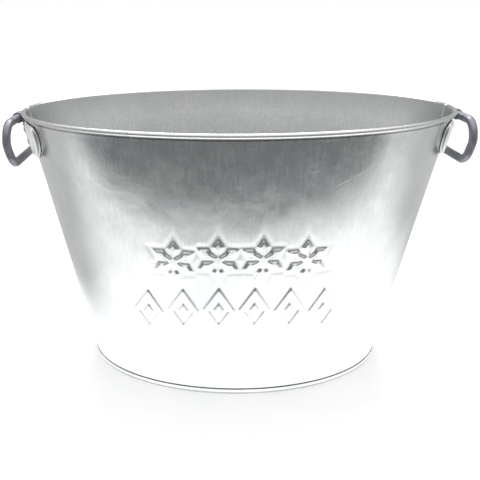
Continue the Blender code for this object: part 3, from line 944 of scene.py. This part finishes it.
def overhead_light():
    """A strip over the back of the bucket, turned down towards it."""
    data = bpy.data.lights.new("overhead", "AREA")
    data.shape = "RECTANGLE"
    data.size, data.size_y = OVERHEAD_SIZE
    data.energy = OVERHEAD_POWER
    data.spread = OVERHEAD_SPREAD
    lamp = bpy.data.objects.new("overhead", data)
    lamp.location = OVERHEAD_PLACE
    lamp.rotation_euler = (OVERHEAD_TARGET - OVERHEAD_PLACE).to_track_quat("-Z", "Y").to_euler()
    bpy.context.scene.collection.objects.link(lamp)


def ceiling_light():
    """A very soft light from straight above."""
    data = bpy.data.lights.new("ceiling", "SUN")
    data.energy = CEILING_POWER
    data.angle = CEILING_ANGLE
    bpy.context.scene.collection.objects.link(bpy.data.objects.new("ceiling", data))


def reflection_board():
    """A board of light just over the floor that only reflections see. It is bright round the foot, fades
    to grey at the sides and behind, and is dark beyond a shallow arc in front, as a dim room would be."""
    n = Nodes("reflection_board")
    n.tree.nodes.remove(n.shader)
    split = n.add("ShaderNodeSeparateXYZ", {"Vector": n.place})
    x, y = split.outputs["X"], split.outputs["Y"]
    bow = n.math("MULTIPLY", n.math("MULTIPLY", x, x), BOARD_ARC)
    edge = n.math("MINIMUM", n.math("SUBTRACT", bow, BOARD_FRONT), -BOARD_SHOULDER)
    edge = n.math("ADD", edge, n.math("MULTIPLY", x, BOARD_LEAN))
    soft = n.span(x, *BOARD_SOFT_SPAN, *BOARD_SOFT)
    lit = n.span(n.math("DIVIDE", n.math("SUBTRACT", y, edge), soft), -1.0, 1.0)
    away = n.add("ShaderNodeVectorMath", {0: n.place}, operation="LENGTH").outputs["Value"]
    around = n.span(away, BOARD_NEAR, BOARD_FAR, BOARD_BRIGHT, BOARD_GREY)
    beside = n.math("ABSOLUTE", n.math("SUBTRACT", x, BOARD_CENTRE))
    beside = n.span(beside, *BOARD_SIDE)
    behind = n.span(y, *BOARD_BACK, 0.0, 1.0)
    dimmed = n.math("MAXIMUM", n.math("MULTIPLY", beside, behind), n.span(y, *BOARD_REAR))
    excess = n.math("SUBTRACT", around, BOARD_GREY)
    around = n.math("SUBTRACT", around, n.math("MULTIPLY", dimmed, excess))
    strength = n.math("MULTIPLY", lit, n.math("SUBTRACT", around, BOARD_DARK))
    strength = n.math("ADD", strength, BOARD_DARK)
    tint = n.mix(lit, *BOARD_TINTS)
    glow = n.add("ShaderNodeEmission", {"Color": tint, "Strength": strength})
    n.tree.links.new(glow.outputs["Emission"], n.tree.nodes["Material Output"].inputs["Surface"])
    board = stage_plane("reflection_board", BOARD_REACH, BOARD_LIFT, n.material)
    board.visible_camera = False
    board.visible_diffuse = False
    board.visible_shadow = False


def studio_world():
    """Soft light from all round, a little dimmer behind. Straight behind the bucket it shows as white."""
    world = bpy.data.worlds.new("studio")
    bpy.context.scene.world = world
    world.use_nodes = True
    tree = world.node_tree
    place = tree.nodes.new("ShaderNodeTexCoord")
    split = tree.nodes.new("ShaderNodeSeparateXYZ")
    level = tree.nodes.new("ShaderNodeMapRange")
    for key, value in zip(("From Min", "From Max", "To Min", "To Max"), WORLD_SPAN + WORLD_LEVELS):
        level.inputs[key].default_value = value
    tree.links.new(place.outputs["Generated"], split.inputs["Vector"])
    tree.links.new(split.outputs["Y"], level.inputs["Value"])
    shown = tree.nodes.new("ShaderNodeMath")
    shown.operation = "MAXIMUM"
    tree.links.new(level.outputs["Result"], shown.inputs[0])
    tree.links.new(tree.nodes.new("ShaderNodeLightPath").outputs["Is Camera Ray"], shown.inputs[1])
    tree.links.new(shown.outputs["Value"], tree.nodes["Background"].inputs["Strength"])
    tree.nodes["Background"].inputs["Color"].default_value = WORLD_COLOUR


def studio():
    stage_plane("floor", FLOOR_REACH, 0, floor_material())
    reflection_board()
    studio_world()
    ceiling_light()
    overhead_light()


def camera():
    """The camera stands in front, a little left of the middle, and looks down over the rim."""
    forward = Vector((
        math.sin(CAMERA_YAW) * math.cos(CAMERA_PITCH),
        math.cos(CAMERA_YAW) * math.cos(CAMERA_PITCH),
        -math.sin(CAMERA_PITCH),
    ))
    level = Vector((math.cos(CAMERA_YAW), -math.sin(CAMERA_YAW), 0))
    upright = level.cross(forward)
    right = level * math.cos(CAMERA_ROLL) + upright * math.sin(CAMERA_ROLL)
    up = upright * math.cos(CAMERA_ROLL) - level * math.sin(CAMERA_ROLL)
    data = bpy.data.cameras.new("camera")
    data.lens = CAMERA_LENS
    data.sensor_width = SENSOR_WIDTH
    data.shift_x = CAMERA_SHIFT
    obj = bpy.data.objects.new("camera", data)
    turn = Matrix((right, up, -forward)).transposed().to_4x4()
    obj.matrix_world = Matrix.Translation(CAMERA_PLACE) @ turn
    bpy.context.scene.collection.objects.link(obj)
    bpy.context.scene.camera = obj


# ---------------------------------------------------------------- assembly


def build():
    galvanised = galvanised_material()
    plated = plate_material()
    iron = iron_material()
    rivet_steel = rivet_material()
    wall_sheet("front_wall", "wall_front", galvanised, True)
    wall_sheet("rear_wall", "wall_rear", galvanised, False)
    foot_hoop(galvanised)
    base_pan(galvanised)
    wire = frame["nodes"]["rim_wire"]
    wire.data.materials.clear()
    wire.data.materials.append(wire_material())
    for side, word in ((-1, "left"), (1, "right")):
        ear_plate(side, word, plated)
        hinge_lug(side, word, iron)
        handle(side, word, iron)
        for number, (y, height) in enumerate(RIVET_PLACES, 1):
            rivet(side, word, number, y, height, rivet_steel)


build()
camera()
studio()
bpy.context.scene.view_settings.view_transform = "Standard"
